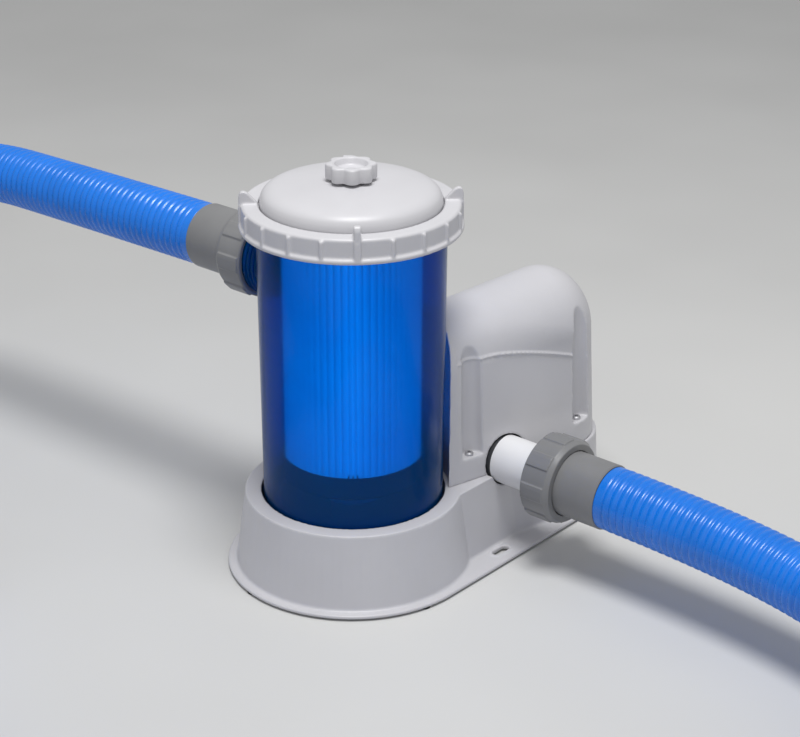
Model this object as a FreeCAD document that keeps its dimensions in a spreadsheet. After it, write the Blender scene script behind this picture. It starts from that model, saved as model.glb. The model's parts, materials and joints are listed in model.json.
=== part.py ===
import FreeCAD, Part
import math
import os
import re
import Sketcher
from FreeCAD import Placement, Rotation, Vector

# Above-ground pool filter pump. Millimetres, +Z up.
# The origin is the tank's axis at floor level. +Y is the inlet side, -Y the outlet side.
# The motor housing points along +X, swung about the tank's axis by the angle "swing".

SIZES = {
    # pressure tank, turned about the origin's axis
    "tank_top_radius": 70.0,
    "tank_foot_radius": 68.6,
    "tank_wall": 3.0,
    "tank_foot": 54.0,
    "tank_rim": 284.0,
    "tank_shoulder_radius": 75.0,
    "drain_bore": 14.0,
    # filter cartridge
    "cartridge_radius": 53.0,
    "cartridge_foot": 78.0,
    "cartridge_length": 203.0,
    "cap_thickness": 8.0,
    "core_radius": 20.0,
    "pleat_count": 60,
    # lid and its screwed collar
    "collar_foot": 275.0,
    "collar_top": 293.5,
    "collar_radius": 80.0,
    "collar_mouth": 67.5,
    "collar_wall": 3.7,
    "rib_count": 20,
    "rib_width": 2.7,
    "lug_count": 4,
    "lug_width": 4.6,
    "lug_top": 303.0,
    "lid_radius": 66.6,
    "lid_flange_radius": 75.0,
    "lid_flange_foot": 286.8,
    "lid_top": 309.2,
    "lid_wall": 3.2,
    # air release valve on the lid
    "knob_tip_radius": 18.1,
    "knob_foot": 312.5,
    "knob_top": 322.6,
    "lobe_count": 8,
    "lobe_radius": 4.4,
    "stem_radius": 5.0,
    # moulded base
    "swing": -13.2,
    "flange_radius": 97.5,
    "flange_foot": 1.5,
    "flange_top": 4.5,
    "rear_offset": 190.0,
    "base_top": 63.0,
    "base_wall": 3.0,
    "skirt_foot_radius": 91.0,
    "skirt_top_radius": 83.0,
    "tank_opening": 70.4,
    "wing_foot": 77.0,
    "wing_top": 72.0,
    "bay_foot": 50.2,
    "bay_top": 46.9,
    "bay_offset": 184.0,
    "bay_opening": 41.0,
    "slot_inset": 12.5,
    "slot_reach": 77.0,
    "slot_length": 17.5,
    "slot_width": 6.5,
    "plate_thickness": 2.5,
    "plate_gap": 0.4,
    "plate_screw_reach": 75.0,
    "plate_screw_hole": 2.4,
    "post_radius": 4.5,
    "socket_radius": 2.0,
    "boss_radius": 3.2,
    "rear_foot_reach": 238.0,
    "gland_height": 100.0,
    "gland_turn": 30.0,
    "gland_hole": 7.0,
    "foot_radius": 4.0,
    # motor cover
    "cover_offset": 180.0,
    "cover_wall": 2.5,
    "cover_shoulder": 152.0,
    "cover_shoulder_width": 42.3,
    "cover_ridge": 201.5,
    "cover_front_ridge": 185.3,
    "cover_front_start": 40.0,
    "cover_front": 73.2,
    "flute_radius": 10.0,
    "flute_wall": 2.5,
    "flute_front": 81.0,
    "flute_rear": 192.0,
    "flute_line": 46.3,
    "flute_rear_line": 44.4,
    "flute_ledge": 82.0,
    "flute_floor": 3.0,
    "cover_screw_hole": 2.3,
    "cover_screw_head": 3.4,
    "screw_line": 40.0,
    "screw_rear": 190.6,
    "screw_rear_line": 38.6,
    "screw_radius": 1.95,
    # pump and motor, upright on one axis
    "motor_offset": 127.0,
    "volute_foot": 48.0,
    "volute_top": 92.0,
    "volute_radius": 39.0,
    "volute_wall": 4.0,
    "impeller_radius": 30.0,
    "blade_count": 7,
    "shaft_radius": 4.0,
    "can_radius": 21.0,
    "can_top": 162.0,
    "stator_radius": 37.0,
    "stator_foot": 106.0,
    "stator_height": 40.0,
    "pole_count": 4,
    "pole_width": 13.0,
    "coil_depth": 6.0,
    "suction_height": 30.0,
    "suction_radius": 17.0,
    "suction_wall": 3.0,
    "elbow_bulge": 0.6,
    "leg_reach": 33.0,
    "leg_radius": 4.0,
    "leg_foot": 4.0,
    # water connections
    "outlet_across": 100.5,
    "outlet_height": 71.0,
    "outlet_union": -108.0,
    "outlet_joint": 69.0,
    "pipe_radius": 19.25,
    "pipe_bore": 16.0,
    "pipe_clearance": 1.25,
    "inlet_height": 230.8,
    "inlet_union": 85.0,
    "inlet_bore": 19.0,
    "thread_radius": 28.5,
    "nut_radius": 34.0,
    "nut_length": 26.0,
    "nut_bore": 29.0,
    "nut_thread": 18.5,
    "nut_relief": 0.4,
    "nut_shoulder": 22.6,
    "cuff_start": 19.0,
    "cuff_flange": 2.0,
    "nut_rib_count": 8,
    "cuff_radius": 25.5,
    "cuff_bore": 21.0,
    "inlet_cuff_end": 65.0,
    "outlet_cuff_end": 62.0,
    "hose_radius": 24.7,
    "hose_bore": 22.2,
}

# The two hoses' routes, from the cuff's end face to the far cuff. Each is a list of corner points.
INLET_ROUTE = [
    (0, 150.2, 230.8),
    (0, 300, 229.2),
    (0, 439, 226),
    (-61, 545, 202),
    (-167, 606, 146),
    (-320, 606, 80),
    (-427, 545, 42),
    (-488, 439, 27),
    (-489, 320, 25.2),
    (-489, 190, 28),
    (-489, 60, 34.2),
    (-489, -53, 34.6),
]
OUTLET_ROUTE = [
    (100.5, -170.2, 71),
    (100.5, -351, 69),
    (39, -457, 57),
    (-66, -518, 40),
    (-243, -518, 27),
    (-348, -457, 25.2),
    (-410, -351, 25),
    (-411, -220, 25.2),
    (-412, -85, 25.4),
    (-412, 46, 27),
    (-362, 142, 31.5),
    (-272, 205, 34.8),
]

WORD = re.compile(r"[A-Za-z_]\w*")
ALONG = {
    "Z": Rotation(),
    "-Z": Rotation(Vector(1, 0, 0), 180),
    "Y": Rotation(Vector(1, 0, 0), -90),
    "-Y": Rotation(Vector(1, 0, 0), 90),
    "X": Rotation(Vector(0, 1, 0), 90),
}

doc = FreeCAD.newDocument("PoolPump")
sheet = doc.addObject("Spreadsheet::Sheet", "Sizes")
for row, (alias, number) in enumerate(SIZES.items(), 1):
    sheet.set(f"A{row}", alias)
    sheet.set(f"B{row}", str(number))
    sheet.setAlias(f"B{row}", alias)
doc.recompute()

nodes = {}


def bound(text):
    """The expression with each size's name pointing into the sheet."""
    return WORD.sub(lambda m: "Sizes." + m[0] if m[0] in SIZES else m[0], str(text))


def value(text):
    return float(sheet.evalExpression(bound(text)))


def bind(item, **formulas):
    for name, text in formulas.items():
        item.setExpression(name, bound(text))


def put(item, at=(0, 0, 0), along="Z", turn=None):
    """Bind an item's place. turn is an angle about Z for an item that isn't laid over."""
    item.Placement.Rotation = ALONG[along] if isinstance(along, str) else along
    if turn is not None:
        item.Placement.Rotation = Rotation(Vector(0, 0, 1), 1)
        item.setExpression("Placement.Rotation.Angle", bound(turn))
    for letter, text in zip("xyz", at):
        item.setExpression("Placement.Base." + letter, bound(text))
    return item


def keep(label, item):
    """Name an item as one of the kept sub-parts."""
    item.Label = label
    nodes[label] = item
    return item


# ---- primitives and booleans


def cylinder(radius, height, at=(0, 0, 0), along="Z"):
    item = doc.addObject("Part::Cylinder", "Cylinder")
    bind(item, Radius=radius, Height=height)
    return put(item, at, along)


def cone(foot_radius, top_radius, height, at=(0, 0, 0), along="Z"):
    item = doc.addObject("Part::Cone", "Cone")
    bind(item, Radius1=foot_radius, Radius2=top_radius, Height=height)
    return put(item, at, along)


def box(length, width, height, at=(0, 0, 0)):
    item = doc.addObject("Part::Box", "Box")
    bind(item, Length=length, Width=width, Height=height)
    return put(item, at)


def torus(ring, thickness, at=(0, 0, 0)):
    item = doc.addObject("Part::Torus", "Torus")
    bind(item, Radius1=ring, Radius2=thickness)
    return put(item, at)


def cut(base, *tools):
    item = doc.addObject("Part::Cut", "Cut")
    item.Base = base
    item.Tool = tools[0] if len(tools) == 1 else fuse(*tools)
    return item


def fuse(*shapes):
    item = doc.addObject("Part::MultiFuse", "Fusion")
    item.Shapes = list(shapes)
    return item


def common(first, second):
    item = doc.addObject("Part::MultiCommon", "Common")
    item.Shapes = [first, second]
    return item


def ring(outer, inner, height, at=(0, 0, 0), along="Z"):
    item = cut(cylinder(outer, height), cylinder(inner, height))
    return put(item, at, along)


# ---- bodies from sketches


def new_body(name):
    return doc.addObject("PartDesign::Body", name)


def sketch_on(body, role, height="0"):
    sketch = body.newObject("Sketcher::SketchObject", body.Name + "Sketch")
    plane = [f for f in body.Origin.OriginFeatures if f.Role == role][0]
    sketch.AttachmentSupport = [(plane, "")]
    sketch.MapMode = "FlatFace"
    sketch.setExpression("AttachmentOffset.Base.z", bound(height))
    return sketch


def hold_point(sketch, edge, end, across, up):
    """Fix one end of an edge at two bound distances from the sketch's origin."""
    for kind, text, axis in (("DistanceX", across, -2), ("DistanceY", up, -1)):
        number = value(text)
        if abs(number) < 1e-9:
            sketch.addConstraint(Sketcher.Constraint("PointOnObject", edge, end, axis))
            continue
        index = sketch.addConstraint(Sketcher.Constraint(kind, -1, 1, edge, end, number))
        sketch.setExpression(f"Constraints[{index}]", bound(text))


def draw_corners(sketch, corners):
    points = [Vector(value(a), value(b), 0) for a, b in corners]
    count = len(points)
    for i in range(count):
        sketch.addGeometry(Part.LineSegment(points[i], points[(i + 1) % count]), False)
    for i in range(count):
        sketch.addConstraint(Sketcher.Constraint("Coincident", i, 2, (i + 1) % count, 1))
    for i, (across, up) in enumerate(corners):
        hold_point(sketch, i, 1, across, up)


def draw_circle(sketch, radius, across="0"):
    middle = Vector(value(across), 0, 0)
    edge = sketch.addGeometry(Part.Circle(middle, Vector(0, 0, 1), value(radius)), False)
    hold_point(sketch, edge, 3, across, "0")
    index = sketch.addConstraint(Sketcher.Constraint("Radius", edge, value(radius)))
    sketch.setExpression(f"Constraints[{index}]", bound(radius))


def draw_teardrop(sketch, near, far, offset):
    """Two arcs, at the origin and at the offset along X, joined by their outer tangents."""
    big, small, gap = value(near), value(far), value(offset)
    lean = math.acos((big - small) / gap)
    up = Vector(0, 0, 1)
    start, end = Vector(), Vector(gap, 0, 0)
    tip = Vector(math.cos(lean), math.sin(lean), 0)
    mirrored = Vector(tip.x, -tip.y, 0)
    sketch.addGeometry(Part.ArcOfCircle(Part.Circle(start, up, big), lean, 2 * math.pi - lean))
    sketch.addGeometry(Part.LineSegment(start + mirrored * big, end + mirrored * small))
    sketch.addGeometry(Part.ArcOfCircle(Part.Circle(end, up, small), -lean, lean))
    sketch.addGeometry(Part.LineSegment(end + tip * small, start + tip * big))
    for edge in range(4):
        following = (edge + 1) % 4
        sketch.addConstraint(Sketcher.Constraint("Tangent", edge, 2, following, 1))
    sketch.addConstraint(Sketcher.Constraint("Coincident", 0, 3, -1, 1))
    hold_point(sketch, 2, 3, offset, "0")
    for edge, text in ((0, near), (2, far)):
        index = sketch.addConstraint(Sketcher.Constraint("Radius", edge, value(text)))
        sketch.setExpression(f"Constraints[{index}]", bound(text))


def turned(name, corners, at=(0, 0, 0), along="Z"):
    """A body turned about its own Z from corners of (radius, height)."""
    body = new_body(name)
    sketch = sketch_on(body, "XZ_Plane")
    draw_corners(sketch, corners)
    spin = body.newObject("PartDesign::Revolution", name + "Turned")
    spin.Profile = sketch
    spin.ReferenceAxis = (sketch, ["V_Axis"])
    spin.Angle = 360
    return put(body, at, along)


def repeat(body, feature, count):
    """Repeat a feature all round the body's own Z axis."""
    pattern = body.newObject("PartDesign::PolarPattern", body.Name + "Ring")
    pattern.Originals = [feature]
    upright = [item for item in body.Origin.OriginFeatures if item.Role == "Z_Axis"][0]
    pattern.Axis = (upright, [""])
    pattern.Angle = 360
    bind(pattern, Occurrences=count)
    body.Tip = pattern
    return pattern


def pad(body, sketch, length):
    item = body.newObject("PartDesign::Pad", body.Name + "Pad")
    item.Profile = sketch
    bind(item, Length=length)
    return item


def add_block(body, corners, foot, height, count=None):
    """Add an upright block over its corners of (x, y), repeated about Z."""
    sketch = sketch_on(body, "XY_Plane", foot)
    draw_corners(sketch, corners)
    block = pad(body, sketch, height)
    if count:
        repeat(body, block, count)


def add_fin(body, corners, width, count):
    """Add an upright fin over its corners of (radius, height), centred on XZ, repeated about Z."""
    sketch = sketch_on(body, "XZ_Plane", f"-({width}) / 2")
    draw_corners(sketch, corners)
    repeat(body, pad(body, sketch, width), count)


def teardrop(near, near_top, far, far_top, offset, foot, top):
    """A ruled body between a lower and an upper teardrop outline."""
    body = new_body("Teardrop")
    low = sketch_on(body, "XY_Plane", foot)
    draw_teardrop(low, near, far, offset)
    high = sketch_on(body, "XY_Plane", top)
    draw_teardrop(high, near_top, far_top, offset)
    loft = body.newObject("PartDesign::AdditiveLoft", "TeardropLoft")
    loft.Profile = low
    loft.Sections = [high]
    loft.Ruled = True
    return body


# ---- moulded base


def base_solid(inset, foot, top):
    """The base's raised walls as one solid, drawn inwards by the inset."""
    narrow = "rear_offset * sin(-swing)"
    skirt = cone(
        f"skirt_foot_radius - {inset}", f"skirt_top_radius - {inset}", f"{top} - ({foot})",
        at=(0, 0, foot),
    )
    wings = teardrop(
        f"wing_foot - {inset}", f"wing_top - {inset}",
        f"wing_foot - {inset} - {narrow}", f"wing_top - {inset} - {narrow}",
        "rear_offset", foot, top,
    )
    bay = teardrop(
        f"bay_foot - {inset}", f"bay_top - {inset}", f"bay_foot - {inset}", f"bay_top - {inset}",
        "bay_offset", foot, top,
    )
    return [skirt, wings, bay]


def slot(radius, foot, height, side):
    """A round-ended upright slot beside the base's straight edge."""
    half = "(slot_length - slot_width) / 2"
    ends = [cylinder(radius, height, at=(f"{sign}({half})", 0, 0)) for sign in ("-", "")]
    middle = box(f"2 * {half}", f"2 * ({radius})", height, at=(f"-({half})", f"-({radius})", 0))
    item = fuse(middle, *ends)
    line = "(flange_radius - slot_inset)"
    across = f"slot_reach * cos(swing) + {line} * sin(-swing)"
    aside = f"{side} * ({line} * cos(swing) - slot_reach * sin(-swing))"
    return put(item, (across, aside, foot), turn=f"{side} * swing")


def swung(across, aside, height="0"):
    """A place in the swung frame of the housing, as a place in the pump's own frame."""
    return (
        f"({across}) * cos(swing) - ({aside}) * sin(swing)",
        f"({across}) * sin(swing) + ({aside}) * cos(swing)",
        height,
    )


def screw_places():
    front = [("flute_front", f"{side} * screw_line") for side in (-1, 1)]
    rear = [("screw_rear", f"{side} * screw_rear_line") for side in (-1, 1)]
    return front + rear


def plate_screw_places():
    reach = "plate_screw_reach"
    return [(f"{reach} * cos({angle})", f"{reach} * sin({angle})") for angle in (75, 180, 285)]


def outlet_hole():
    reach = "-outlet_union"
    return cylinder(
        "pipe_radius + pipe_clearance", reach, ("outlet_across", -29, "outlet_height"), "-Y"
    )


def make_base():
    rear = "flange_radius - rear_offset * sin(-swing)"
    flange = teardrop(
        "flange_radius", "flange_radius", rear, rear, "rear_offset", "flange_foot", "flange_top"
    )
    rims = [slot("slot_width / 2 + 2", "flange_top", "1", side) for side in (-1, 1)]
    deck = "base_top - base_wall"
    shell = cut(
        fuse(flange, *base_solid("0", "flange_foot", "base_top"), *rims),
        *base_solid("base_wall", "0", deck),
        cylinder("tank_opening", "40", at=(0, 0, 40)),
        cut(
            teardrop(
                "bay_opening", "bay_opening", "bay_opening", "bay_opening", "cover_offset",
                "50", "70",
            ),
            cylinder("cover_front + cover_wall + 1", "40", (0, 0, 40)),
        ),
        *[slot("slot_width / 2", "0", "8", side) for side in (-1, 1)],
    )
    bosses = [cylinder("boss_radius", "39", (x, y, 40)) for x, y in screw_places()]
    posts = [
        cylinder("post_radius", f"{deck} - 4 + 0.5", (x, y, 4)) for x, y in plate_screw_places()
    ]
    holes = [cylinder("socket_radius", "25", (x, y, 55)) for x, y in screw_places()]
    sockets = [cylinder("socket_radius", "20", (x, y, 3)) for x, y in plate_screw_places()]
    whole = cut(fuse(shell, *bosses, *posts), *holes, *sockets)
    put(whole, turn="swing")
    keep("base_shell", cut(whole, outlet_hole()))


def make_bottom_plate():
    top = "flange_foot + plate_thickness"
    plate = fuse(*base_solid("(base_wall + plate_gap)", "flange_foot", top))
    holes = [cylinder("plate_screw_hole", "10", (x, y, 0)) for x, y in plate_screw_places()]
    keep("bottom_plate", put(cut(plate, *holes), turn="swing"))


def make_feet():
    reach = "skirt_foot_radius + 2"
    places = [swung(f"({reach}) * cos({a})", f"({reach}) * sin({a})") for a in (90, 180, 270)]
    places += [swung("rear_foot_reach", "0"), (0, 0, 0)]
    for number, place in enumerate(places, 1):
        keep(f"rubber_foot_{number}", cylinder("foot_radius", "flange_foot", place))


# ---- tank, cartridge, collar and lid


def make_tank():
    inner = "tank_top_radius - tank_wall"
    shell = turned("Tank", [
        ("drain_bore", "tank_foot"),
        ("tank_foot_radius - 6", "tank_foot"),
        ("tank_foot_radius", "tank_foot + 6"),
        ("tank_top_radius", "collar_foot - 1"),
        ("tank_top_radius", "collar_foot + 2"),
        ("tank_shoulder_radius", "collar_foot + 4"),
        ("tank_shoulder_radius", "tank_rim"),
        (inner, "tank_rim"),
        ("tank_foot_radius - tank_wall", "tank_foot + 7"),
        ("tank_foot_radius - tank_wall - 3", "tank_foot + 4"),
        ("drain_bore", "tank_foot + 4"),
    ])
    port_end = "inlet_union + 17"
    port = cylinder("thread_radius", f"{port_end} - 60", (0, 60, "inlet_height"), "Y")
    hollow = cylinder(inner, "200", (0, 0, 70))
    bore = cylinder("inlet_bore", "70", (0, 50, "inlet_height"), "Y")
    keep("filter_tank", cut(fuse(shell, cut(port, hollow)), bore))


def make_support():
    wall = ring("60", "56", "tank_foot - 4", (0, 0, 4))
    notch = box("80", "2 * suction_radius + 4", "60", (0, "-suction_radius - 2", 0))
    keep("tank_support", put(cut(wall, notch), turn="swing"))


def make_cartridge():
    cap = "cap_thickness"
    top = "cartridge_foot + cartridge_length"
    length = f"cartridge_length - 2 * {cap}"
    keep("cartridge_seat", ring("22", "17", "cartridge_foot - tank_foot - 4", (0, 0, "tank_foot + 4")))
    keep("cartridge_bottom_cap", ring("cartridge_radius", "core_radius - 3", cap, (0, 0, "cartridge_foot")))
    keep("cartridge_top_cap", cylinder("cartridge_radius", cap, (0, 0, f"{top} - {cap}")))
    keep("cartridge_core", ring(
        "core_radius", "core_radius - 3", length, (0, 0, f"cartridge_foot + {cap}")
    ))
    count = int(value("pleat_count"))
    outer, inner = value("cartridge_radius - 1.5"), value("core_radius + 0.5")
    corners = []
    for i in range(2 * count + 1):
        angle = math.pi * i / count
        radius = outer if i % 2 else inner + 6
        corners.append(Vector(radius * math.cos(angle), radius * math.sin(angle), 0))
    star = Part.Face(Part.makePolygon(corners)).extrude(Vector(0, 0, value(length)))
    media = doc.addObject("Part::Feature", "Pleats")
    media.Shape = star.cut(Part.makeCylinder(inner, value(length)))
    keep("cartridge_pleats", put(media, (0, 0, f"cartridge_foot + {cap}")))


def make_collar():
    body = turned("Collar", [
        ("collar_radius - collar_wall", "collar_foot"),
        ("collar_radius + 1.4", "collar_foot"),
        ("collar_radius + 2", "collar_foot + 0.8"),
        ("collar_radius + 2", "collar_foot + 2.6"),
        ("collar_radius + 1.2", "collar_foot + 3.5"),
        ("collar_radius", "collar_foot + 4"),
        ("collar_radius", "collar_top - 1.5"),
        ("collar_radius - 1.5", "collar_top"),
        ("collar_mouth", "collar_top"),
        ("collar_mouth", "collar_top - 3"),
        ("collar_radius - collar_wall", "collar_top - 3"),
    ])
    add_fin(body, [
        ("collar_radius - 2", "collar_foot + 3"),
        ("collar_radius + 1.8", "collar_foot + 3"),
        ("collar_radius + 1.8", "collar_top - 3"),
        ("collar_radius + 1", "collar_top - 1.8"),
        ("collar_radius - 2", "collar_top - 1.8"),
    ], "rib_width", "rib_count")
    add_fin(body, [
        ("collar_radius - 3", "collar_foot + 3.5"),
        ("collar_radius + 1.9", "collar_foot + 3.5"),
        ("collar_radius + 1.3", "lug_top - 4"),
        ("collar_radius + 0.2", "lug_top - 1"),
        ("collar_radius - 2", "lug_top"),
        ("collar_radius - 5", "lug_top - 1.2"),
        ("collar_mouth + 0.8", "collar_top + 1.2"),
        ("collar_mouth + 0.8", "collar_top - 1.5"),
        ("collar_radius - 3", "collar_top - 1.5"),
    ], "lug_width", "lug_count")
    keep("collar_ring", put(body, turn="45"))


def make_lid():
    flange_top = "collar_top - 3.3"
    keep("lid", turned("Lid", [
        ("stem_radius + 0.5", "lid_top - lid_wall"),
        ("32", "lid_top - lid_wall - 0.6"),
        ("50", "lid_top - lid_wall - 2.6"),
        ("58", "lid_top - lid_wall - 5.6"),
        ("62", "lid_top - lid_wall - 10.5"),
        ("lid_radius - 4", "lid_flange_foot"),
        ("lid_flange_radius", "lid_flange_foot"),
        ("lid_flange_radius", flange_top),
        ("lid_radius", flange_top),
        ("lid_radius - 0.2", "lid_top - 13.5"),
        ("lid_radius - 1.6", "lid_top - 9.5"),
        ("lid_radius - 4.6", "lid_top - 6"),
        ("lid_radius - 10", "lid_top - 3.2"),
        ("lid_radius - 20", "lid_top - 1.3"),
        ("30", "lid_top - 0.4"),
        ("14", "lid_top"),
        ("stem_radius + 0.5", "lid_top"),
    ]))
    seal = "(lid_flange_foot - tank_rim) / 2"
    keep("lid_oring", torus("71", f"{seal} - 0.02", (0, 0, f"tank_rim + {seal}")))


def make_valve():
    keep("valve_stem", turned("Stem", [
        ("0", "296"), ("8", "296"), ("8", "299"), ("stem_radius", "299.5"),
        ("stem_radius", "317"), ("0", "317"),
    ]))
    keep("valve_oring", torus("7.2", "1.25", (0, 0, "lid_top + 1.3")))
    body = turned("Knob", [
        ("stem_radius + 0.3", "knob_foot - 0.6"),
        ("9.5", "knob_foot - 0.6"),
        ("9.5", "knob_foot"),
        ("15", "knob_foot"),
        ("15", "knob_top - 1.4"),
        ("13.6", "knob_top"),
        ("12.3", "knob_top"),
        ("11.2", "knob_top - 1.6"),
        ("3.4", "knob_top - 2"),
        ("3", "knob_top - 1.1"),
        ("0", "knob_top - 1.1"),
        ("0", "317.5"),
        ("stem_radius + 0.3", "317.5"),
    ])
    sketch = sketch_on(body, "XY_Plane", "knob_foot")
    draw_circle(sketch, "lobe_radius", "knob_tip_radius - lobe_radius")
    lobe = pad(body, sketch, "knob_top - knob_foot - 0.8")
    repeat(body, lobe, "lobe_count")
    keep("air_valve_knob", body)


# ---- motor cover


def cover_crown(inset):
    """The arched top, half an ellipse across at each end, closed at the rear by a quarter dome."""
    half = value("cover_shoulder_width") - inset
    foot = value("cover_shoulder")
    wires = []
    for across, crest in (
        (value("cover_front_start"), value("cover_front_ridge") - inset),
        (value("cover_offset"), value("cover_ridge") - inset),
    ):
        middle = Vector(across, 0, foot)
        right = Vector(across, half, foot)
        left = Vector(across, -half, foot)
        top = Vector(across, 0, crest)
        if crest - foot < half:
            arc = Part.ArcOfEllipse(Part.Ellipse(right, top, middle), 0, math.pi)
        else:
            arc = Part.ArcOfEllipse(Part.Ellipse(top, left, middle), -math.pi / 2, math.pi / 2)
        wires.append(Part.Wire([arc.toShape(), Part.LineSegment(left, right).toShape()]))
    quarter = Part.ArcOfEllipse(Part.Ellipse(top, left, middle), -math.pi / 2, 0)
    profile = Part.Wire([
        Part.LineSegment(middle, right).toShape(),
        quarter.toShape(),
        Part.LineSegment(top, middle).toShape(),
    ])
    dome = Part.Face(profile).revolve(middle, Vector(0, 0, -1), 180)
    crown = doc.addObject("Part::Feature", "Crown")
    crown.Shape = Part.makeLoft(wires, True, True).fuse(dome)
    return crown


def cover_solid(inset, foot):
    """The cover's outside, or its inside when drawn inwards by the inset."""
    low, high = f"bay_top - {inset}", f"cover_shoulder_width - {inset}"
    walls = teardrop(low, high, low, high, "cover_offset", foot, "cover_shoulder")
    return fuse(walls, cover_crown(inset))


def gland_place(reach):
    """A place on the cable gland's axis, this far from the middle of the cover's rear."""
    return f"cover_offset + {reach} * cos(gland_turn)", f"{reach} * sin(gland_turn)"


def make_cover():
    foot = "base_top"
    tall = "160"
    outer = cut(cover_solid(0, foot), cylinder("cover_front", tall, (0, 0, 60)))
    inner = cut(
        cover_solid(value("cover_wall"), f"{foot} - 1"),
        cylinder("cover_front + cover_wall", tall, (0, 0, 60)),
    )
    places = [("flute_front", f"{side} * flute_line") for side in (-1, 1)]
    places += [("flute_rear", f"{side} * flute_rear_line") for side in (-1, 1)]
    floor = "flute_ledge - flute_floor"
    pockets = [cylinder("flute_radius + flute_wall", "140", (x, y, floor)) for x, y in places]
    aim = Rotation(Vector(0, 0, 1), value("gland_turn")) * ALONG["X"]
    boss = cylinder("12", "14", (*gland_place("35"), "gland_height"), aim)
    lined = fuse(cut(outer, inner), common(fuse(*pockets), outer), boss)
    scoops = [cylinder("flute_radius", "140", (x, y, "flute_ledge")) for x, y in places]
    holes = [cylinder("cover_screw_hole", "8", (x, y, f"{floor} - 1")) for x, y in screw_places()]
    gland = cylinder("gland_hole", "40", (*gland_place("20"), "gland_height"), aim)
    whole = put(cut(lined, *scoops, *holes, gland), turn="swing")
    keep("motor_cover", cut(whole, outlet_hole()))
    for number, (x, y) in enumerate(screw_places(), 1):
        screw = turned("CoverScrew", [
            ("0", "flute_ledge - 23"), ("screw_radius", "flute_ledge - 22"),
            ("screw_radius", "flute_ledge"), ("cover_screw_head", "flute_ledge"),
            ("cover_screw_head", "flute_ledge + 1.6"),
            ("2.6", "flute_ledge + 2.5"), ("0", "flute_ledge + 2.5"),
        ])
        cross = [
            box(a, b, "2", (f"-{a} / 2", f"-{b} / 2", "flute_ledge + 1"))
            for a, b in (("3.6", "0.9"), ("0.9", "3.6"))
        ]
        keep(f"cover_screw_{number}", put(cut(screw, *cross), swung(x, y)))


def make_plate_screws():
    for number, (x, y) in enumerate(plate_screw_places(), 1):
        screw = turned("PlateScrew", [
            ("0", "0.2"), ("3.8", "0.2"), ("3.8", "flange_foot"), ("screw_radius", "flange_foot"),
            ("screw_radius", "16"), ("0", "17"),
        ])
        keep(f"plate_screw_{number}", put(screw, swung(x, y)))


def make_gland():
    body = turned("Gland", [
        ("3.5", "-18"), ("6.8", "-18"), ("6.8", "0"), ("10.5", "0"), ("10.5", "3.5"),
        ("9", "4.5"), ("9", "10"), ("6.5", "12.5"), ("3.5", "12.5"),
    ])
    turn = Rotation(Vector(0, 0, 1), value("swing + gland_turn")) * ALONG["X"]
    keep("cable_gland", put(body, swung(*gland_place("49"), "gland_height"), turn))
    nut = ring("10", "6.9", "3.4")
    keep("gland_locknut", put(nut, swung(*gland_place("31.5"), "gland_height"), turn))


# ---- pump and motor


def on_motor(item, height="0", turn="swing"):
    """Place an item on the motor's axis, its own origin at the height given."""
    return put(item, swung("motor_offset", "0", height), turn=turn)


def make_suction():
    def run(radius):
        level = "suction_height"
        return fuse(
            cylinder(radius, f"tank_foot - {level}", (0, 0, level)),
            cylinder(radius, "motor_offset", (0, 0, level), "X"),
            cylinder(radius, f"volute_foot - {level}", ("motor_offset", 0, level)),
            *[elbow(radius, x, level) for x in ("0", "motor_offset")],
        )

    def elbow(radius, across, level):
        item = doc.addObject("Part::Sphere", "Elbow")
        bind(item, Radius=f"{radius} + elbow_bulge")
        return put(item, (across, 0, level))

    hollow = run("suction_radius - suction_wall")
    keep("suction_pipe", put(cut(run("suction_radius"), hollow), turn="swing"))


def make_volute():
    legs = [(f"leg_reach * cos({a})", f"leg_reach * sin({a})") for a in (0, 110, 250)]
    casing = fuse(
        cylinder("volute_radius", "volute_top - volute_foot", (0, 0, "volute_foot")),
        *[cylinder("leg_radius", "volute_foot - leg_foot + 1", (x, y, "leg_foot")) for x, y in legs],
    )
    on_motor(casing)
    middle = swung("motor_offset", "0")[:2]
    start = "motor_offset * sin(swing)"
    inside = ("outlet_across", start, "outlet_height")
    stub = cylinder("pipe_radius", f"outlet_joint + {start}", inside, "-Y")
    chamber = cylinder("volute_radius - volute_wall", "60", (*middle, "volute_foot + 4"))
    eye = cylinder("suction_radius - suction_wall", "20", (*middle, "volute_foot - 5"))
    bore = cylinder("pipe_bore", "60", ("outlet_across", f"{start} - 6", "outlet_height"), "-Y")
    keep("pump_volute", cut(fuse(casing, stub), chamber, eye, bore))
    keep("volute_lid", on_motor(ring("volute_radius", "8", "4"), "volute_top"))
    reach = "(-outlet_union - outlet_joint)"
    pipe = turned("OutletPipe", [
        ("pipe_bore", "0"), ("pipe_radius", "0"), ("pipe_radius", f"{reach} + 1"),
        ("thread_radius", f"{reach} + 1"), ("thread_radius", f"{reach} + 17"),
        ("pipe_bore", f"{reach} + 17"),
    ], ("outlet_across", "-outlet_joint", "outlet_height"), "-Y")
    keep("outlet_pipe", pipe)


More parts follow.
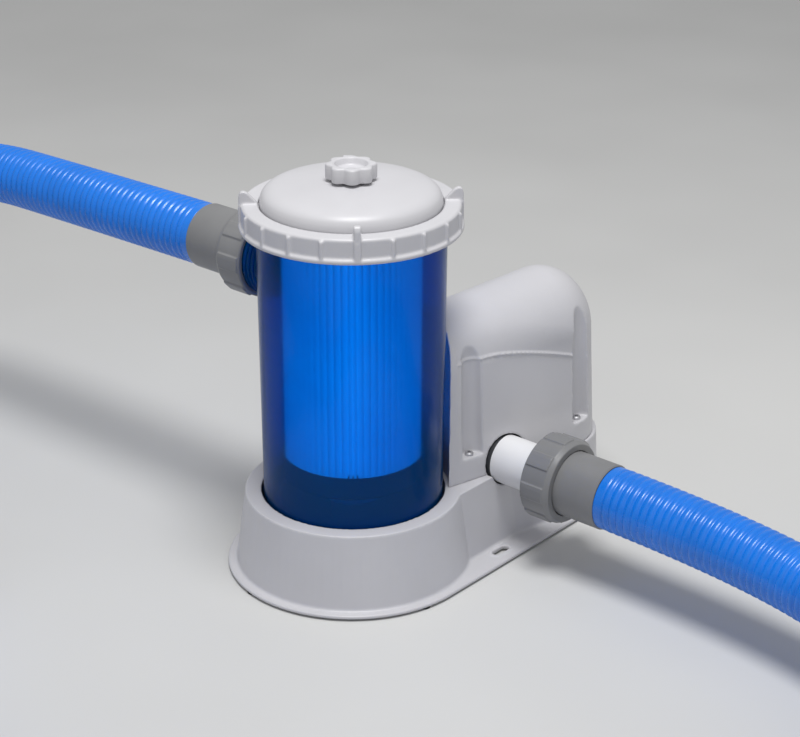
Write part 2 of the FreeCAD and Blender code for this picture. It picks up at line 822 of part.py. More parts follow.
def make_rotor():
    keep("pump_shaft", on_motor(cylinder("shaft_radius", "97"), "59"))
    body = turned("Impeller", [
        ("shaft_radius + 0.02", "60"), ("8", "60"), ("8", "80"), ("impeller_radius", "80"),
        ("impeller_radius", "83"), ("8", "83"), ("8", "88"), ("shaft_radius + 0.02", "88"),
    ])
    add_block(body, [("7.5", "-1"), ("impeller_radius - 1", "-1"), ("impeller_radius - 1", "1"),
                     ("7.5", "1")], "60", "20.5", "blade_count")
    keep("impeller", on_motor(body))
    magnet = ring("can_radius - 2.5", "shaft_radius + 0.02", "44")
    keep("rotor_magnet", on_motor(magnet, "104"))
    keep("lower_bush", on_motor(ring("8", "shaft_radius + 0.06", "8"), "90"))
    seat = ring("can_radius - 1", "shaft_radius + 0.06", "6")
    keep("upper_bush", on_motor(seat, "can_top - 8"))


def make_motor():
    inside = "can_radius - 1"
    keep("rotor_can", on_motor(turned("Can", [
        ("0", "can_top"), ("can_radius", "can_top"), ("can_radius", "98"), ("36", "98"),
        ("36", "volute_top + 4"), (inside, "volute_top + 4"), (inside, "can_top - 2"),
        ("0", "can_top - 2"),
    ])))
    core = turned("StatorCore", [
        ("stator_radius - 6", "stator_foot"), ("stator_radius", "stator_foot"),
        ("stator_radius", "stator_foot + stator_height"),
        ("stator_radius - 6", "stator_foot + stator_height"),
    ])
    half = "pole_width / 2"
    add_block(core, [("can_radius + 1", f"-{half}"), ("stator_radius - 5", f"-{half}"),
                     ("stator_radius - 5", half), ("can_radius + 1", half)],
              "stator_foot", "stator_height", "pole_count")
    keep("stator_core", on_motor(core))
    keep("stator_frame", on_motor(ring("stator_radius", "stator_radius - 5", "8"), "98"))
    wide = "pole_width + 5"
    for number in range(int(value("pole_count"))):
        coil = cut(
            box("coil_depth", wide, "stator_height + 5",
                ("can_radius + 2.5", f"-({wide}) / 2", "stator_foot - 2.5")),
            box("coil_depth + 3", "pole_width", "stator_height",
                ("can_radius + 1.5", "-pole_width / 2", "stator_foot")),
        )
        angle = f"swing + {number} * 360 / pole_count"
        keep(f"stator_coil_{number + 1}", on_motor(coil, turn=angle))


# ---- water connections


def union(prefix, at, along, cuff_end):
    """A union: nut, gasket and hose cuff. Distances run along the axis from the nut's rear face."""
    nut = turned("Nut", [
        ("nut_bore", "0"), ("nut_radius - 2", "0"), ("nut_radius - 1", "1"),
        ("nut_radius - 1", "nut_length - 4"), ("nut_radius - 3", "nut_length"),
        ("cuff_radius + 0.5", "nut_length"), ("cuff_radius + 0.5", "nut_shoulder"),
        ("nut_bore + nut_relief", "nut_shoulder"), ("nut_bore + nut_relief", "nut_thread"),
        ("nut_bore", "nut_thread"),
    ])
    add_block(nut, [("nut_bore + 1", "-7"), ("nut_radius - 0.4", "-6"), ("nut_radius", "-3"),
                    ("nut_radius", "3"), ("nut_radius - 0.4", "6"), ("nut_bore + 1", "7")],
              "1.5", "nut_length - 6", "nut_rib_count")
    keep(f"{prefix}_nut", put(nut, at, along))
    cuff = turned("Cuff", [
        ("cuff_bore", "cuff_start"), ("thread_radius", "cuff_start"),
        ("thread_radius", "cuff_start + cuff_flange"), ("cuff_radius", "cuff_start + cuff_flange"),
        ("cuff_radius", f"{cuff_end} - 1"), ("cuff_radius - 0.8", cuff_end),
        ("cuff_bore", cuff_end),
    ])
    keep(f"{prefix}_cuff", put(cuff, at, along))


def washers(prefix, at, along):
    """The gasket under the cuff's flange and the slip ring between that flange and the nut."""
    keep(f"{prefix}_gasket", put(turned("Gasket", [
        ("cuff_bore", "cuff_start - 2"), ("thread_radius - 0.5", "cuff_start - 2"),
        ("thread_radius - 0.5", "cuff_start"), ("cuff_bore", "cuff_start"),
    ]), at, along))
    keep(f"{prefix}_slip_ring", put(turned("SlipRing", [
        ("cuff_radius + 0.5", "21.3"), ("nut_bore - 0.4", "21.3"), ("nut_bore - 0.4", "22.3"),
        ("cuff_radius + 0.5", "22.3"),
    ]), at, along))


def wire_through(points):
    """Straight runs joined by tangent arcs. Gives the wire and its smallest radius."""
    edges = []
    start = points[0]
    least = math.inf
    for before, corner, after in zip(points, points[1:], points[2:]):
        leaving = (before - corner).normalize()
        going = (after - corner).normalize()
        half_turn = (math.pi - leaving.getAngle(going)) / 2
        reach = 0.45 * min(corner.distanceToPoint(before), corner.distanceToPoint(after))
        radius = reach / math.tan(half_turn)
        least = min(least, radius)
        first, last = corner + leaving * reach, corner + going * reach
        inward = (leaving + going).normalize()
        centre = corner + inward * (radius / math.cos(half_turn))
        edges.append(Part.LineSegment(start, first).toShape())
        edges.append(Part.Arc(first, centre - inward * radius, last).toShape())
        start = last
    edges.append(Part.LineSegment(start, points[-1]).toShape())
    return Part.Wire(edges), least


def make_hose(prefix, route):
    points = [Vector(*point) for point in route]
    path, least = wire_through(points)
    heading = (points[1] - points[0]).normalize()
    outer, bore = value("hose_radius"), value("hose_bore")

    def swept(radius):
        mouth = Part.Wire(Part.makeCircle(radius, points[0], heading))
        return path.makePipeShell([mouth], True, False)

    hose = doc.addObject("Part::Feature", "Hose")
    hose.Shape = swept(outer).cut(swept(bore))
    expected = math.pi * (outer**2 - bore**2) * path.Length
    print(prefix, "length", round(path.Length, 1), "least radius", round(least, 1),
          "volume ratio", round(hose.Shape.Volume / expected, 4))
    keep(f"{prefix}_hose", hose)
    end = points[-1]
    going = (end - points[-2]).normalize()
    turn = Rotation(Vector(0, 0, 1), going * -1)
    nut_face = end + going * value(f"{prefix}_cuff_end")
    union(f"{prefix}_far", tuple(nut_face), turn, f"{prefix}_cuff_end")


def make_connections():
    inlet = (0, "inlet_union", "inlet_height")
    outlet = ("outlet_across", "outlet_union", "outlet_height")
    union("inlet", inlet, "Y", "inlet_cuff_end")
    washers("inlet", inlet, "Y")
    union("outlet", outlet, "-Y", "outlet_cuff_end")
    washers("outlet", outlet, "-Y")
    make_hose("inlet", INLET_ROUTE)
    make_hose("outlet", OUTLET_ROUTE)


for make in (
    make_base, make_bottom_plate, make_feet, make_tank, make_support, make_cartridge,
    make_collar, make_lid, make_valve, make_cover, make_plate_screws, make_gland,
    make_suction, make_volute, make_rotor, make_motor, make_connections,
):
    make()

doc.recompute()
problems = [
    f"{item.Name} ({item.Label}): {item.State}"
    for item in doc.Objects
    if "Invalid" in item.State or "Error" in item.State
]
for label, item in nodes.items():
    if item.Shape.isNull() or not item.Shape.isValid() or not item.Shape.Solids:
        problems.append(f"{label}: bad shape")
if problems:
    raise SystemExit("\n".join(problems))

os.makedirs("parts", exist_ok=True)
for label, item in nodes.items():
    item.Shape.exportStep(f"parts/{label}.step")
    size = item.Shape.BoundBox
    print(f"{label:24s} solids {len(item.Shape.Solids)} volume {item.Shape.Volume:10.0f} "
          f"z {size.ZMin:7.1f} {size.ZMax:7.1f}")
print(len(nodes), "sub-parts")
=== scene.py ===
import json
import math

import bmesh
import bpy
from mathutils import Matrix, Vector


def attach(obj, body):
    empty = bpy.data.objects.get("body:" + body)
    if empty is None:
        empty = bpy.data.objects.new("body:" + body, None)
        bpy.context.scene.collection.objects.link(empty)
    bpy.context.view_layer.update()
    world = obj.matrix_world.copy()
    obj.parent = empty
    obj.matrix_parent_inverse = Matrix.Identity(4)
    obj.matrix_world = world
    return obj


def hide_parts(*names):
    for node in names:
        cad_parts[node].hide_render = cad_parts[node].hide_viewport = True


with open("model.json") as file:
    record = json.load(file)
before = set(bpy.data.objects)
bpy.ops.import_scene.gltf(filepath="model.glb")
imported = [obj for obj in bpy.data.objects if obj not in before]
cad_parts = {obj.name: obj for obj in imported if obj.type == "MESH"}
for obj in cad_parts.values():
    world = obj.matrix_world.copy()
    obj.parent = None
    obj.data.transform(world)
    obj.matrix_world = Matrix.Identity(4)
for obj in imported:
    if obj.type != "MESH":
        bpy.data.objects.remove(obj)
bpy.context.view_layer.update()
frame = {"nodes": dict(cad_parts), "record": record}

# Looks of the pool filter pump: moulded grey housing, clear blue tank, corrugated hoses.
# Metres, +Z up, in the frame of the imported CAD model.

NODES = frame["nodes"]
SLOT_OF = {row["node"]: row["material_slot"] for row in frame["record"]["subparts"]}
BODY_OF = {
    node: body
    for body, members in frame["record"]["behaviour"]["bodies"].items()
    for node in members
}

scene = bpy.context.scene
scene.view_settings.view_transform = "Standard"


# ---------------------------------------------------------------- camera

CAMERA_AT = Vector((-1.0363, -0.9390, 0.7841))
CAMERA_HEADING = math.radians(40.725)  # from +X towards +Y
CAMERA_DOWN = math.radians(24.015)
CAMERA_ROLL = math.radians(0.19)
CAMERA_LENS = 92.0  # mm, as is the sensor's width
SENSOR = 36.0
CLIP_NEAR, CLIP_FAR = 0.05, 50.0


def make_camera():
    level = Vector((math.cos(CAMERA_HEADING), math.sin(CAMERA_HEADING), 0))
    across = Vector((level.y, -level.x, 0))
    ahead = level * math.cos(CAMERA_DOWN)
    ahead.z = -math.sin(CAMERA_DOWN)
    upward = across.cross(ahead)
    right = across * math.cos(CAMERA_ROLL) + upward * math.sin(CAMERA_ROLL)
    top = right.cross(ahead)
    data = bpy.data.cameras.new("camera")
    data.lens = CAMERA_LENS
    data.sensor_width = SENSOR
    data.clip_start = CLIP_NEAR
    data.clip_end = CLIP_FAR
    camera = bpy.data.objects.new("camera", data)
    scene.collection.objects.link(camera)
    camera.matrix_world = Matrix((
        (right.x, top.x, -ahead.x, CAMERA_AT.x),
        (right.y, top.y, -ahead.y, CAMERA_AT.y),
        (right.z, top.z, -ahead.z, CAMERA_AT.z),
        (0, 0, 0, 1),
    ))
    scene.camera = camera


make_camera()


# ---------------------------------------------------------------- materials


NOISE_LOW, NOISE_HIGH = 0.3, 0.7


class Look:
    """One procedural material: a Principled shader and the textures that drive it."""

    def __init__(self, name, **sockets):
        self.material = bpy.data.materials.new(name)
        self.material.use_nodes = True
        self.tree = self.material.node_tree
        self.shader = self.tree.nodes["Principled BSDF"]
        self.where = self.node("ShaderNodeTexCoord").outputs["Object"]
        for socket, setting in sockets.items():
            self.shader.inputs[socket.replace("_", " ")].default_value = setting

    def node(self, kind, **settings):
        made = self.tree.nodes.new(kind)
        for key, setting in settings.items():
            setattr(made, key, setting)
        return made

    def join(self, source, target):
        self.tree.links.new(source, target)

    def noise(self, scale, detail=3.0, stretch=(1, 1, 1)):
        mapping = self.node("ShaderNodeMapping")
        mapping.inputs["Scale"].default_value = stretch
        self.join(self.where, mapping.inputs["Vector"])
        made = self.node("ShaderNodeTexNoise")
        made.inputs["Scale"].default_value = scale
        made.inputs["Detail"].default_value = detail
        self.join(mapping.outputs["Vector"], made.inputs["Vector"])
        return made.outputs["Fac"]

    def bands(self, axis, scale, distortion=0.0):
        made = self.node("ShaderNodeTexWave", wave_type="BANDS", bands_direction=axis)
        made.inputs["Scale"].default_value = scale
        made.inputs["Distortion"].default_value = distortion
        self.join(self.where, made.inputs["Vector"])
        return made.outputs["Fac"]

    def ramp(self, factor, stops):
        made = self.node("ShaderNodeValToRGB")
        elements = made.color_ramp.elements
        while len(elements) < len(stops):
            elements.new(0.5)
        for element, (position, colour) in zip(elements, stops):
            element.position = position
            element.color = (*colour, 1)
        self.join(factor, made.inputs["Fac"])
        return made.outputs["Color"]

    def spread(self, factor, low, high):
        """A noise's usual range, 0.3 to 0.7, spread from low to high."""
        made = self.node("ShaderNodeMapRange")
        made.inputs["From Min"].default_value = NOISE_LOW
        made.inputs["From Max"].default_value = NOISE_HIGH
        made.inputs["To Min"].default_value = low
        made.inputs["To Max"].default_value = high
        self.join(factor, made.inputs["Value"])
        return made.outputs["Result"]

    def colour(self, factor, *stops):
        self.join(self.ramp(factor, stops), self.shader.inputs["Base Color"])
        return self

    def rough(self, factor, low, high):
        self.join(self.spread(factor, low, high), self.shader.inputs["Roughness"])
        return self

    def bump(self, height, depth, strength=1.0):
        made = self.node("ShaderNodeBump")
        made.inputs["Distance"].default_value = depth
        made.inputs["Strength"].default_value = strength
        self.join(height, made.inputs["Height"])
        before = self.shader.inputs["Normal"]
        if before.is_linked:
            self.join(before.links[0].from_socket, made.inputs["Normal"])
        self.join(made.outputs["Normal"], before)
        return self


GRAIN_DEPTH = 0.00005
FIBRE_DEPTH = 0.0002
SHEET_DEPTH = 0.0002
TURN_DEPTH = 0.0003
STROKE_DEPTH = 0.00004
RUBBER_DEPTH = 0.00012
HOSE_GRAIN_DEPTH = 0.00012


def plastic(name, dark, light, gloss):
    """Injection-moulded plastic: faint flow marks in its colour, a fine sparked grain."""
    look = Look(name)
    look.colour(look.noise(14.0, 4.0), (0.32, dark), (0.68, light))
    look.rough(look.noise(60.0, 4.0), *gloss)
    look.bump(look.noise(1400.0, 2.0), GRAIN_DEPTH, 0.5)
    return look


TANK_ABSORPTION = (0.0, 0.40, 0.62, 1)
TANK_DENSITY = 215.0
TANK_SHADOW_TINT = (0.50, 0.85, 1.0, 1)


def clear_blue():
    """Tinted clear plastic, slightly rough. Its wall absorbs light by its depth, so its edges
    look darkest. Shadow rays pass through it, tinted, so that light reaches the cartridge."""
    look = Look(
        "clear_blue_plastic",
        IOR=1.14, Transmission_Weight=0.86, Coat_Weight=0.06, Coat_Roughness=0.06,
    )
    look.colour(look.noise(11.0, 3.0), (0.3, (0.001, 0.22, 0.72)), (0.7, (0.002, 0.27, 0.80)))
    look.rough(look.noise(40.0, 3.0), 0.17, 0.22)
    depth = look.node("ShaderNodeVolumeAbsorption")
    depth.inputs["Color"].default_value = TANK_ABSORPTION
    depth.inputs["Density"].default_value = TANK_DENSITY
    lamp = look.node("ShaderNodeLightPath")
    through = look.node("ShaderNodeBsdfTransparent")
    through.inputs["Color"].default_value = TANK_SHADOW_TINT
    mixed = look.node("ShaderNodeMixShader")
    output = look.tree.nodes["Material Output"]
    look.join(lamp.outputs["Is Shadow Ray"], mixed.inputs["Fac"])
    look.join(look.shader.outputs["BSDF"], mixed.inputs[1])
    look.join(through.outputs["BSDF"], mixed.inputs[2])
    look.join(mixed.outputs["Shader"], output.inputs["Surface"])
    look.join(depth.outputs["Volume"], output.inputs["Volume"])
    return look


def hose_blue():
    look = Look("hose_blue_plastic", Coat_Weight=0.22, Coat_Roughness=0.16)
    look.colour(look.noise(25.0, 4.0), (0.3, (0.002, 0.170, 0.69)), (0.7, (0.004, 0.200, 0.80)))
    look.rough(look.noise(220.0, 3.0), 0.22, 0.36)
    look.bump(look.noise(500.0, 3.0), HOSE_GRAIN_DEPTH, 0.4)
    return look


PAPER_GLOW = (0.10, 0.85, 1.0, 1)


def filter_paper():
    """White pleated paper. Its faint glow stands for daylight that reaches it from all round."""
    look = Look("filter_paper", Sheen_Weight=0.3, Emission_Strength=0.34)
    look.shader.inputs["Emission Color"].default_value = PAPER_GLOW
    fibres = look.noise(420.0, 6.0, (1, 1, 0.35))
    look.colour(fibres, (0.3, (0.78, 0.84, 0.92)), (0.7, (0.92, 0.95, 1.0)))
    look.rough(look.noise(90.0), 0.75, 0.95)
    look.bump(fibres, FIBRE_DEPTH, 0.6)
    return look


def metal(name, dark, light, gloss, stretch, scale=900.0):
    """Bare metal with fine strokes, drawn out along an axis by the stretch."""
    look = Look(name, Metallic=1.0)
    strokes = look.noise(scale, 4.0, stretch)
    look.colour(look.noise(50.0, 4.0), (0.3, dark), (0.7, light))
    look.rough(strokes, *gloss)
    look.bump(strokes, STROKE_DEPTH, 0.5)
    return look


def laminations():
    look = Look("stator_laminations", Metallic=1.0)
    sheets = look.bands("Z", 320.0)
    look.colour(sheets, (0.2, (0.12, 0.12, 0.13)), (0.8, (0.32, 0.32, 0.34)))
    look.rough(look.noise(300.0), 0.35, 0.55)
    look.bump(sheets, SHEET_DEPTH, 0.8)
    return look


def winding():
    look = Look("copper_winding", Metallic=1.0, Coat_Weight=0.6)
    turns = look.bands("Z", 420.0, 0.6)
    look.colour(turns, (0.1, (0.30, 0.10, 0.04)), (0.9, (0.78, 0.36, 0.18)))
    look.rough(look.noise(200.0), 0.22, 0.35)
    look.bump(turns, TURN_DEPTH, 0.9)
    return look


def rubber():
    look = Look("black_rubber")
    look.colour(look.noise(120.0, 5.0), (0.3, (0.012, 0.012, 0.013)), (0.7, (0.035, 0.035, 0.036)))
    look.rough(look.noise(300.0), 0.62, 0.85)
    look.bump(look.noise(900.0, 4.0), RUBBER_DEPTH, 0.8)
    return look


# Darkest and lightest colour of each plastic and metal, and its least and greatest roughness.
MOULDED_GREY = (0.565, 0.560, 0.582), (0.605, 0.600, 0.622), (0.34, 0.44)
WHITE_PIPE = (0.76, 0.76, 0.77), (0.82, 0.82, 0.83), (0.30, 0.40)
UNION_GREY = (0.195, 0.196, 0.200), (0.235, 0.236, 0.240), (0.34, 0.46)
INNER_PLASTIC = (0.030, 0.032, 0.036), (0.050, 0.052, 0.058), (0.45, 0.60)
SCREW_STEEL = (0.50, 0.50, 0.52), (0.66, 0.66, 0.68), (0.42, 0.58)
MAGNET = (0.03, 0.03, 0.032), (0.07, 0.07, 0.075), (0.5, 0.7)

LOOKS = {
    "moulded_grey": plastic("moulded_grey_plastic", *MOULDED_GREY),
    "blue_tank": clear_blue(),
    "white_pipe": plastic("white_pipe_plastic", *WHITE_PIPE),
    "union_grey": plastic("union_grey_plastic", *UNION_GREY),
    "blue_hose": hose_blue(),
    "black_rubber": rubber(),
    "screw_steel": metal("screw_steel", *SCREW_STEEL, (1, 1, 0.05)),
    "filter_paper": filter_paper(),
    "inner_plastic": plastic("inner_plastic", *INNER_PLASTIC),
    "motor_steel": laminations(),
    "copper_wire": winding(),
    "magnet_black": metal("magnet_ferrite", *MAGNET, (1, 1, 1), 500.0),
}


def paint(piece, slot):
    piece.data.materials.clear()
    piece.data.materials.append(LOOKS[slot].material)


def dress(node):
    """A CAD node that stays gets its slot's material."""
    shown = NODES[node]
    look = LOOKS[SLOT_OF[node]].material
    if not shown.material_slots:
        shown.data.materials.append(look)
    for holder in shown.material_slots:
        holder.material = look


for name in NODES:
    dress(name)


def add_piece(name, mesh, slot, body="root"):
    piece = bpy.data.objects.new(name, mesh)
    scene.collection.objects.link(piece)
    paint(piece, slot)
    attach(piece, body)
    return piece


def skin(mesh_maker, rings):
    """Smooth four-sided faces between each ring of vertices and the next."""
    for near, far in zip(rings, rings[1:]):
        around = len(near)
        for count in range(around):
            after = (count + 1) % around
            face = mesh_maker.faces.new((near[count], near[after], far[after], far[count]))
            face.smooth = True


def close_ends(mesh_maker, rings):
    """A flat face over the first ring and one over the last."""
    mesh_maker.faces.new(list(reversed(rings[0])))
    mesh_maker.faces.new(rings[-1])


def finished_mesh(mesh_maker, name):
    mesh = bpy.data.meshes.new(name)
    mesh_maker.to_mesh(mesh)
    mesh_maker.free()
    return mesh


# ---------------------------------------------------------------- hoses

HOSE_DIAMETER = 0.0494
RIDGE_PITCH = 0.0066
RIDGE_STEPS = (0.0, 0.09, 0.18, 0.30, 0.42, 0.58, 0.70, 0.82, 0.91)
GROOVE_DEPTH = 0.0013
GROOVE_SHARPNESS = 1.6
PLAIN_END = 0.007
LEAST_STEP = 0.001
AROUND = 56
CURVE_STEPS = 40

# Control points of each hose's centre line, the same as in the CAD model.
INLET_ROUTE = [
    (0, 0.1502, 0.2308), (0, 0.300, 0.2292), (0, 0.439, 0.226),
    (-0.061, 0.545, 0.202), (-0.167, 0.606, 0.146), (-0.320, 0.606, 0.080),
    (-0.427, 0.545, 0.042), (-0.488, 0.439, 0.027), (-0.489, 0.320, 0.0252),
    (-0.489, 0.190, 0.028), (-0.489, 0.060, 0.0342), (-0.489, -0.053, 0.0346),
]
OUTLET_ROUTE = [
    (0.1005, -0.1702, 0.071), (0.1005, -0.351, 0.069), (0.039, -0.457, 0.057),
    (-0.066, -0.518, 0.040), (-0.243, -0.518, 0.027), (-0.348, -0.457, 0.0252),
    (-0.410, -0.351, 0.025), (-0.411, -0.220, 0.0252), (-0.412, -0.085, 0.0254),
    (-0.412, 0.046, 0.027), (-0.362, 0.142, 0.0315), (-0.272, 0.205, 0.0348),
]


def centreline(name, route):
    """The hose's smooth line: the points of a NURBS curve with the route as its control points."""
    data = bpy.data.curves.new(name, "CURVE")
    data.dimensions = "3D"
    data.resolution_u = CURVE_STEPS
    spline = data.splines.new("NURBS")
    spline.points.add(len(route) - 1)
    for point, place in zip(spline.points, route):
        point.co = (*place, 1)
    spline.order_u = 3
    spline.use_endpoint_u = True
    holder = bpy.data.objects.new(name, data)
    mesh = bpy.data.meshes.new_from_object(holder)
    line = [vertex.co.copy() for vertex in mesh.vertices]
    bpy.data.objects.remove(holder)
    bpy.data.meshes.remove(mesh)
    return line


def walk(line):
    """Length along the line at each of its points."""
    reached = [0.0]
    for before, after in zip(line, line[1:]):
        reached.append(reached[-1] + (after - before).length)
    return reached


def stations(line, distances):
    """Points on the line at these distances, with the direction there."""
    reached = walk(line)
    found = []
    index = 0
    for distance in distances:
        while index < len(line) - 2 and reached[index + 1] < distance:
            index += 1
        run = line[index + 1] - line[index]
        share = (distance - reached[index]) / run.length
        found.append((line[index] + run * share, run.normalized()))
    return found


def ridge_radius(distance, length):
    """Outer radius of the hose: rounded ridges with narrow grooves, plain at both ends."""
    outer = HOSE_DIAMETER / 2
    inside = min(distance, length - distance) - PLAIN_END
    if inside <= 0:
        return outer - GROOVE_DEPTH * 0.25
    phase = (distance / RIDGE_PITCH) % 1.0
    return outer - GROOVE_DEPTH * (0.5 + 0.5 * math.cos(math.tau * phase)) ** GROOVE_SHARPNESS


def tube(name, line, slot):
    """A corrugated hose along the line, closed at both ends."""
    length = walk(line)[-1]
    ridges = int(length / RIDGE_PITCH)
    distances = [(ridge + part) * RIDGE_PITCH for ridge in range(ridges) for part in RIDGE_STEPS]
    distances = [distance for distance in distances if distance < length - LEAST_STEP] + [length]
    mesh_maker = bmesh.new()
    side = Vector((0, 0, 1))
    rings = []
    for place, heading in stations(line, distances):
        side = (side - heading * side.dot(heading)).normalized()
        other = heading.cross(side)
        radius = ridge_radius(distances[len(rings)], length)
        rings.append([
            mesh_maker.verts.new(
                place + (side * math.cos(angle) + other * math.sin(angle)) * radius
            )
            for angle in (math.tau * count / AROUND for count in range(AROUND))
        ])
    skin(mesh_maker, rings)
    close_ends(mesh_maker, rings)
    mesh_maker.normal_update()
    return add_piece(name, finished_mesh(mesh_maker, name), slot)


WELD = 1e-6


def rounded(node, name, voxel, passes):
    """A moulded copy of a CAD node, with its edges rounded the way a mould leaves them."""
    mesh = NODES[node].data.copy()
    mesh_maker = bmesh.new()
    mesh_maker.from_mesh(mesh)
    bmesh.ops.remove_doubles(mesh_maker, verts=mesh_maker.verts, dist=WELD)
    mesh_maker.to_mesh(mesh)
    mesh_maker.free()
    maker = bpy.data.objects.new(name + "_source", mesh)
    scene.collection.objects.link(maker)
    even = maker.modifiers.new("even", "REMESH")
    even.mode = "VOXEL"
    even.voxel_size = voxel
    even.use_smooth_shade = True
    soft = maker.modifiers.new("soft", "SMOOTH")
    soft.factor = 0.5
    soft.iterations = passes
    dressed = maker.evaluated_get(bpy.context.evaluated_depsgraph_get())
    finished = bpy.data.meshes.new_from_object(dressed)
    bpy.data.objects.remove(maker)
    for polygon in finished.polygons:
        polygon.use_smooth = True
    piece = add_piece(name, finished, SLOT_OF[node], BODY_OF[node])
    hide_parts(node)
    return piece


def lathe(name, profile, slot, origin, along, body="root", around=128):
    """A ring turned from (radius, distance) corners about an axis through the origin."""
    turn = Vector((0, 0, 1)).rotation_difference(Vector(along))
    mesh_maker = bmesh.new()
    rings = []
    for radius, distance in profile:
        rings.append([
            mesh_maker.verts.new(
                Vector(origin)
                + turn @ Vector((radius * math.cos(angle), radius * math.sin(angle), distance))
            )
            for angle in (math.tau * count / around for count in range(around))
        ])
    skin(mesh_maker, rings + rings[:1])
    bmesh.ops.recalc_face_normals(mesh_maker, faces=mesh_maker.faces)
    return add_piece(name, finished_mesh(mesh_maker, name), slot, body)


def bead(radius, inner, middle, half, height):
    """A closed profile for a rounded ridge standing on a surface of this radius."""
    crest = [
        (radius + height * math.cos(angle), middle + half * math.sin(angle))
        for angle in (math.pi * (count / 10 - 0.5) for count in range(11))
    ]
    return [(inner, middle - half)] + crest + [(inner, middle + half)]


def make_hose(side, route):
    """A hose, and the union nut that hangs on its far end."""
    line = centreline(side + "_line", route)
    hose = tube(side + "_hose_corrugated", line, "blue_hose")
    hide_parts(side + "_hose")
    far_nut = rounded(side + "_far_nut", side + "_far_nut_moulded", 0.0007, 5)


make_hose("inlet", INLET_ROUTE)
make_hose("outlet", OUTLET_ROUTE)


# ---------------------------------------------------------------- moulded parts

HOUSING_TURN = math.radians(-13.2)  # about +Z, from +X
COVER_MIDDLE = (0.026, 0.038)  # across the housing: the edge fades out towards its middle
COVER_ALONG = (0.066, 0.070, 0.181, 0.187)  # where the edge starts and ends along the housing
CROWN_EDGE = 0.1605  # height of the edge at the front
EDGE_LEVEL_TO = 0.100  # the edge is level this far along, then falls towards the rear
EDGE_RUN = 0.0755
EDGE_DROP = 0.018
EDGE_SOFT = (-0.0012, 0.0016)
LIP_REACH = 0.024
LIP_STANDS_OUT = 0.0022
WALL_SET_BACK = 0.0014
WALL_FOOT = (0.075, 0.100)


def step(low, high, place):
    """0 below the low end, 1 above the high end, smooth between them."""
    share = min(max((place - low) / (high - low), 0.0), 1.0)
    return share * share * (3 - 2 * share)


def make_cover():
    """The motor cover, its walls set back a little under the crown's edge."""
    cover = rounded("motor_cover", "motor_cover_moulded", 0.0010, 4)
    into = Matrix.Rotation(-HOUSING_TURN, 4, "Z")
    back = into.inverted()
    for vertex in cover.data.vertices:
        place = into @ vertex.co
        if abs(place.y) < COVER_MIDDLE[0] or place.z < WALL_FOOT[0]:
            continue
        fall = max(place.x - EDGE_LEVEL_TO, 0.0) / EDGE_RUN
        edge = CROWN_EDGE - EDGE_DROP * min(fall, 1.3) ** 1.4
        under = step(*EDGE_SOFT, edge - place.z)
        lip = (1 - under) * step(-LIP_REACH, 0.0, edge - place.z)
        along = step(*COVER_ALONG[:2], place.x) * (1 - step(*COVER_ALONG[2:], place.x))
        inward = WALL_SET_BACK * under * step(*WALL_FOOT, place.z) - LIP_STANDS_OUT * lip
        inward *= along * step(*COVER_MIDDLE, abs(place.y))
        place.y -= math.copysign(inward, place.y)
        vertex.co = back @ place

rounded("base_shell", "base_moulded", 0.0010, 4)
make_cover()
rounded("collar_ring", "collar_moulded", 0.0008, 2)
rounded("inlet_nut", "inlet_nut_moulded", 0.0005, 3)
rounded("outlet_nut", "outlet_nut_moulded", 0.0005, 3)


TANK_AXIS = (0, 0, 0), (0, 0, 1)
PORT_AXIS = (0, 0, 0.2308), (0, 1, 0)
FINE_AROUND = 192


def eased(corners, steps=6):
    """A smooth line through the corners of a profile."""
    ends = [corners[0]] + corners + [corners[-1]]
    line = []
    for first, start, stop, last in zip(ends, ends[1:], ends[2:], ends[3:]):
        for count in range(steps):
            t = count / steps
            line.append(tuple(
                0.5 * (
                    2 * b + (c - a) * t + (2 * a - 5 * b + 4 * c - d) * t * t
                    + (3 * b - a - 3 * c + d) * t ** 3
                )
                for a, b, c, d in zip(first, start, stop, last)
            ))
    return line + [corners[-1]]


def make_lid():
    """The lid's dome, its hollow inside and the flange that the collar presses down."""
    dome = eased([
        (0.0666, 0.2908), (0.0665, 0.2945), (0.0658, 0.2980), (0.0640, 0.3012), (0.0605, 0.3038),
        (0.0550, 0.3057), (0.0450, 0.3073), (0.0320, 0.3085), (0.0170, 0.3091), (0.0058, 0.3092),
    ])
    inside = [
        (0.0055, 0.3060), (0.0320, 0.3053), (0.0500, 0.3034), (0.0580, 0.3004), (0.0620, 0.2955),
        (0.0626, 0.2868),
    ]
    flange = [
        (0.0745, 0.2868), (0.0750, 0.2873), (0.0750, 0.2897), (0.0745, 0.2902), (0.0672, 0.2902),
    ]
    profile = dome + inside + flange
    lid = lathe("lid_domed", profile, "moulded_grey", *TANK_AXIS, "lid_body", FINE_AROUND)
    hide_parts("lid")


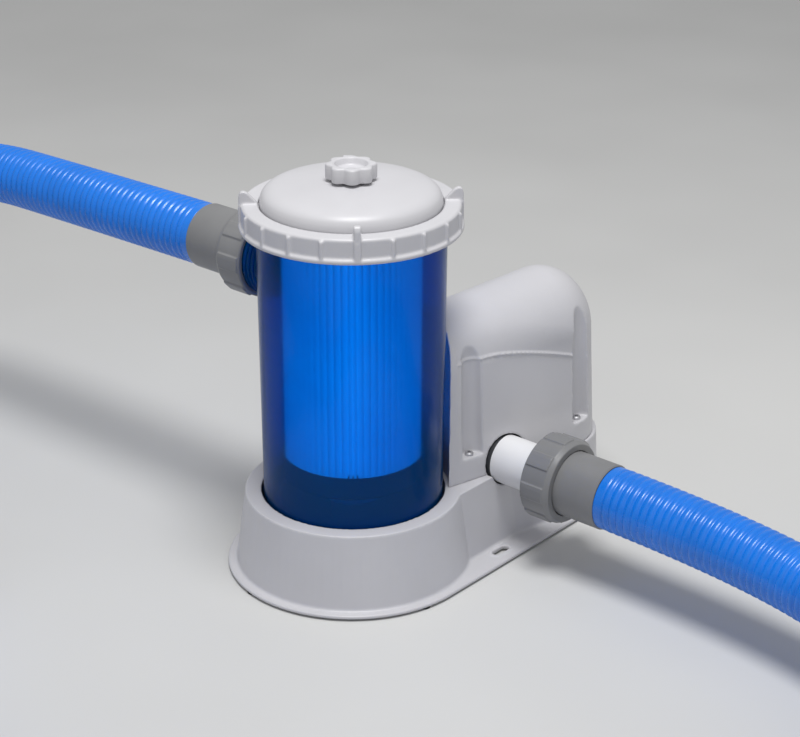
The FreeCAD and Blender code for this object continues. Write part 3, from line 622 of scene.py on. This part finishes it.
def make_knob():
    """The air valve's knob: eight soft lobes round a dished top."""
    foot, top, lobes = 0.3112, 0.3226, 8
    valley, crest, roundness = 0.0159, 0.0029, 0.75
    layers = [  # how far inside the outline, height, share of the lobes' depth
        (0.0062, foot, 0.0), (0.0012, foot, 1.0), (0.0003, foot + 0.0003, 1.0),
        (0.0, foot + 0.0012, 1.0), (0.0, top - 0.0014, 1.0), (0.0004, top - 0.0005, 1.0),
        (0.0013, top, 0.95), (0.0027, top, 0.35), (0.0034, top - 0.0002, 0.1),
        (0.0039, top - 0.0008, 0.0), (0.0044, top - 0.0040, 0.0), (0.0054, top - 0.0052, 0.0),
        (0.0075, top - 0.0056, 0.0), (0.0118, top - 0.0056, 0.0), (0.0124, top - 0.0050, 0.0),
        (0.0156, top - 0.0047, 0.0),
    ]
    mesh_maker = bmesh.new()
    rings = []
    for inset, height, share in layers:
        ring = []
        for count in range(FINE_AROUND):
            angle = math.tau * count / FINE_AROUND
            lobe = (0.5 + 0.5 * math.cos(lobes * angle)) ** roundness
            radius = valley + crest * lobe * share - inset
            place = (radius * math.cos(angle), radius * math.sin(angle), height)
            ring.append(mesh_maker.verts.new(place))
        rings.append(ring)
    skin(mesh_maker, rings)
    close_ends(mesh_maker, rings)
    mesh = finished_mesh(mesh_maker, "air_valve_knob_lobed")
    knob = add_piece("air_valve_knob_lobed", mesh, "moulded_grey", "air_valve_cap")
    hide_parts("air_valve_knob")


make_lid()
make_knob()


# ---------------------------------------------------------------- cartridge's lower cap

CAP_RIM = [
    (0.0531, 0.0790), (0.0536, 0.0786), (0.0538, 0.0800),
    (0.0538, 0.0950), (0.0536, 0.0960), (0.0531, 0.0960),
]
lathe("cartridge_cap_rim", CAP_RIM, "inner_plastic", *TANK_AXIS)


# ---------------------------------------------------------------- inlet port's thread

PORT_RADIUS = 0.0285
THREAD_START = 0.0742
THREAD_PITCH = 0.0042
THREAD_ROOT = 0.0008
THREAD_HALF_WIDTH = 0.0012
THREAD_HEIGHT = 0.0013

for number in range(3):
    middle = THREAD_START + number * THREAD_PITCH
    ridge = bead(PORT_RADIUS, PORT_RADIUS - THREAD_ROOT, middle, THREAD_HALF_WIDTH, THREAD_HEIGHT)
    lathe(f"port_thread_{number + 1}", ridge, "blue_tank", *PORT_AXIS)


# ---------------------------------------------------------------- floor and light


FLOOR_REACH = 12.0  # from the middle to each side
LAMPS = {  # place, what it is aimed at, diameter, watts
    "key": ((-0.25, -0.30, 1.95), (0.05, 0, 0.1), 0.75, 27.0),
    "fill": ((-1.7, -1.0, 1.3), (0, 0, 0.15), 1.5, 2.0),
}
SKY_COLOUR = (0.98, 0.985, 1.0, 1)
SKY_STRENGTH = 0.42


def make_floor():
    side = FLOOR_REACH
    mesh = bpy.data.meshes.new("floor")
    corners = [(-side, -side, 0), (side, -side, 0), (side, side, 0), (-side, side, 0)]
    mesh.from_pydata(corners, [], [(0, 1, 2, 3)])
    floor = bpy.data.objects.new("floor", mesh)
    scene.collection.objects.link(floor)
    look = Look("floor_paper")
    look.colour(look.noise(3.0, 2.0), (0.3, (0.60, 0.60, 0.59)), (0.7, (0.64, 0.64, 0.63)))
    look.rough(look.noise(8.0), 0.8, 0.9)
    mesh.materials.append(look.material)


def make_lamp(name, place, aim, size, power):
    data = bpy.data.lights.new(name, "AREA")
    data.shape = "DISK"
    data.size = size
    data.energy = power
    lamp = bpy.data.objects.new(name, data)
    scene.collection.objects.link(lamp)
    lamp.location = place
    lamp.rotation_mode = "QUATERNION"
    lamp.rotation_quaternion = (Vector(aim) - Vector(place)).to_track_quat("-Z", "Y")


def make_world():
    world = bpy.data.worlds.new("studio")
    scene.world = world
    world.use_nodes = True
    background = world.node_tree.nodes["Background"]
    background.inputs["Color"].default_value = SKY_COLOUR
    background.inputs["Strength"].default_value = SKY_STRENGTH


make_floor()
for lamp_name, settings in LAMPS.items():
    make_lamp(lamp_name, *settings)
make_world()
